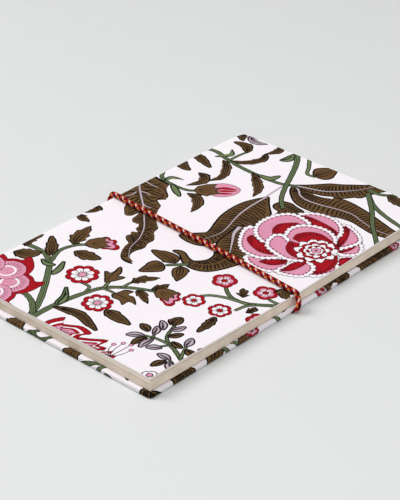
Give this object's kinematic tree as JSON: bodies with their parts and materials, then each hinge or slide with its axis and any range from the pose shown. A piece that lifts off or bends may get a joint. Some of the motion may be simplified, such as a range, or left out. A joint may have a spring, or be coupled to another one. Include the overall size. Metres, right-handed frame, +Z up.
{
  "type": "diary",
  "caption": "Closed cloth-covered diary with sewn sections between a flush front cover and a larger back cover, held by a braided cord loop.",
  "frame": {"origin": "centre of the bounding box's bottom: the middle of the back cover's outline, on the table", "axes": "+X from the spine to the fore-edge, +Y from the tail to the head, +Z up out of the front cover"},
  "size_m": [0.1353, 0.209, 0.0112],
  "materials": {
    "cover_cloth": "printed plain-weave cotton, matt",
    "board": "grey board, cut edge",
    "endpaper": "heavy uncoated paper",
    "page_paper": "uncoated ivory paper, cut edge",
    "spine_kraft": "kraft strip",
    "gauze": "open-weave bookbinding gauze",
    "thread": "waxed linen thread",
    "cord": "round braid, red with white, yellow and black flecks"
  },
  "bodies": {
    "back_cover": {"back_cover_cloth": "cover_cloth", "back_board": "board", "back_pastedown": "endpaper"},
    "back_flyleaf": {"back_flyleaf": "endpaper"},
    "text_block": {"section_5": "page_paper", "section_6": "page_paper", "section_7": "page_paper", "section_8": "page_paper", "spine_cloth": "cover_cloth", "spine_lining": "spine_kraft", "spine_gauze": "gauze", "stitch_1": "thread", "stitch_2": "thread", "stitch_3": "thread", "stitch_4": "thread"},
    "section_4": {"section_4": "page_paper"},
    "section_3": {"section_3": "page_paper"},
    "section_2": {"section_2": "page_paper"},
    "section_1": {"section_1": "page_paper"},
    "front_flyleaf": {"front_flyleaf": "endpaper"},
    "front_cover": {"front_cover_cloth": "cover_cloth", "front_board": "board", "front_pastedown": "endpaper"},
    "cord": {"closure_cord": "cord"}
  },
  "joints": [
    {"name": "back_cover_hinge", "type": "hinge", "parent": "back_cover", "child": "text_block", "pos_m": [-0.065, 0, 0.001], "axis": [0, -1, 0], "range_deg": [0, 100], "deforming": ["closure_cord"]},
    {"name": "back_flyleaf_turn", "type": "hinge", "parent": "back_cover", "child": "back_flyleaf", "pos_m": [-0.065, 0, 0.001], "axis": [0, -1, 0], "range_deg": [0, 40]},
    {"name": "front_cover_hinge", "type": "hinge", "parent": "text_block", "child": "front_cover", "pos_m": [-0.065, 0, 0.00476], "axis": [0, -1, 0], "range_deg": [0, 180], "deforming": ["closure_cord"]},
    {"name": "front_flyleaf_turn", "type": "hinge", "parent": "text_block", "child": "front_flyleaf", "pos_m": [-0.065, 0, 0.00476], "axis": [0, -1, 0], "range_deg": [0, 171]},
    {"name": "section_1_turn", "type": "hinge", "parent": "text_block", "child": "section_1", "pos_m": [-0.065, 0, 0.00476], "axis": [0, -1, 0], "range_deg": [0, 154.8]},
    {"name": "section_2_turn", "type": "hinge", "parent": "text_block", "child": "section_2", "pos_m": [-0.065, 0, 0.00476], "axis": [0, -1, 0], "range_deg": [0, 126]},
    {"name": "section_3_turn", "type": "hinge", "parent": "text_block", "child": "section_3", "pos_m": [-0.065, 0, 0.00476], "axis": [0, -1, 0], "range_deg": [0, 90]},
    {"name": "section_4_turn", "type": "hinge", "parent": "text_block", "child": "section_4", "pos_m": [-0.065, 0, 0.00476], "axis": [0, -1, 0], "range_deg": [0, 46.8]},
    {"name": "cord_slide", "type": "slide", "parent": "back_cover", "child": "cord", "axis": [0, -1, 0], "range_m": [0, 0.13]}
  ],
  "couplings": [
    {"joint": "back_flyleaf_turn", "follows": "back_cover_hinge", "ratio": 0.4},
    {"joint": "front_flyleaf_turn", "follows": "front_cover_hinge", "ratio": 0.95},
    {"joint": "section_1_turn", "follows": "front_cover_hinge", "ratio": 0.86},
    {"joint": "section_2_turn", "follows": "front_cover_hinge", "ratio": 0.7},
    {"joint": "section_3_turn", "follows": "front_cover_hinge", "ratio": 0.5},
    {"joint": "section_4_turn", "follows": "front_cover_hinge", "ratio": 0.26},
    {"joint": "cord_slide", "follows": "front_cover_hinge", "m_per_rad": 0.0413}
  ]
}
